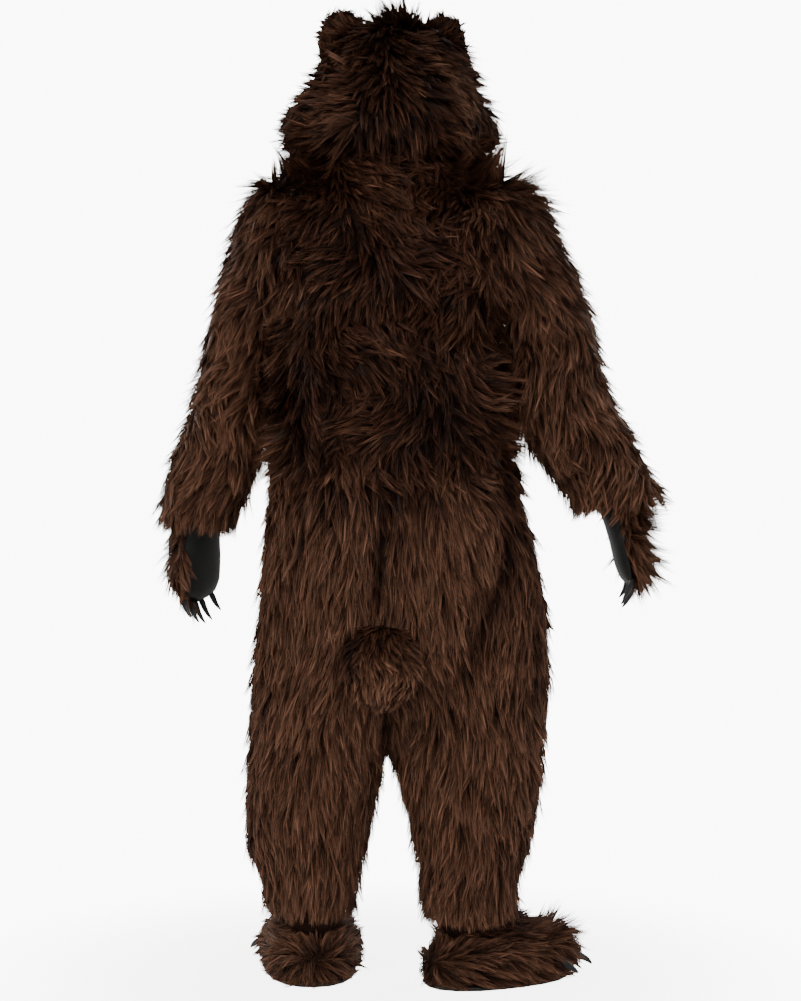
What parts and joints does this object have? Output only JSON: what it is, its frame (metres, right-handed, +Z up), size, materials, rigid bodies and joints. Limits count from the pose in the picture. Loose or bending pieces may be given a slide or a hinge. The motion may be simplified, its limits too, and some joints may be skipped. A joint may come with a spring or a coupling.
{
  "type": "bear costume",
  "caption": "Long-pile brown fur bear costume: hooded jumpsuit with ears and a stub tail, mitten gloves and shoe covers with black claws.",
  "frame": {"origin": "midway between the shoulders at the height of the neck seam, where a wearer holds the costume up", "axes": "+Z up, +Y out of the costume's front, +X towards the costume's own right side; the pictured back faces -Y"},
  "size_m": [0.942, 0.4788, 1.7905],
  "materials": {
    "bear_fur": "long lying pile, soft sheen along the nap",
    "dark_fur": "long shaggy pile, near black brown",
    "palm_cloth": "smooth knitted cloth with a low sheen",
    "claw_plastic": "glossy soft vinyl",
    "sole_cloth": "matte grip cloth"
  },
  "bodies": {
    "root": {"ear_left": "dark_fur", "ear_right": "dark_fur", "leg_back_left": "bear_fur", "leg_back_right": "bear_fur", "leg_front_left": "bear_fur", "leg_front_right": "bear_fur", "torso_back_left": "dark_fur", "torso_back_right": "dark_fur", "torso_front_left": "bear_fur", "torso_front_right": "bear_fur", "foot_claw_left_1": "claw_plastic", "foot_claw_left_2": "claw_plastic", "foot_claw_left_3": "claw_plastic", "foot_claw_left_4": "claw_plastic", "foot_claw_left_5": "claw_plastic", "foot_claw_right_1": "claw_plastic", "foot_claw_right_2": "claw_plastic", "foot_claw_right_3": "claw_plastic", "foot_claw_right_4": "claw_plastic", "foot_claw_right_5": "claw_plastic", "glove_fur_left": "bear_fur", "glove_fur_right": "bear_fur", "glove_palm_left": "palm_cloth", "glove_palm_right": "palm_cloth", "hand_claw_left_1": "claw_plastic", "hand_claw_left_2": "claw_plastic", "hand_claw_left_3": "claw_plastic", "hand_claw_left_4": "claw_plastic", "hand_claw_left_5": "claw_plastic", "hand_claw_right_1": "claw_plastic", "hand_claw_right_2": "claw_plastic", "hand_claw_right_3": "claw_plastic", "hand_claw_right_4": "claw_plastic", "hand_claw_right_5": "claw_plastic", "hood_centre": "dark_fur", "hood_side_left": "bear_fur", "hood_side_right": "bear_fur", "shoe_inner_left": "bear_fur", "shoe_inner_right": "bear_fur", "shoe_outer_left": "bear_fur", "shoe_outer_right": "bear_fur", "shoe_sole_left": "sole_cloth", "shoe_sole_right": "sole_cloth", "sleeve_left": "bear_fur", "sleeve_right": "bear_fur", "tail": "dark_fur"}
  },
  "joints": []
}
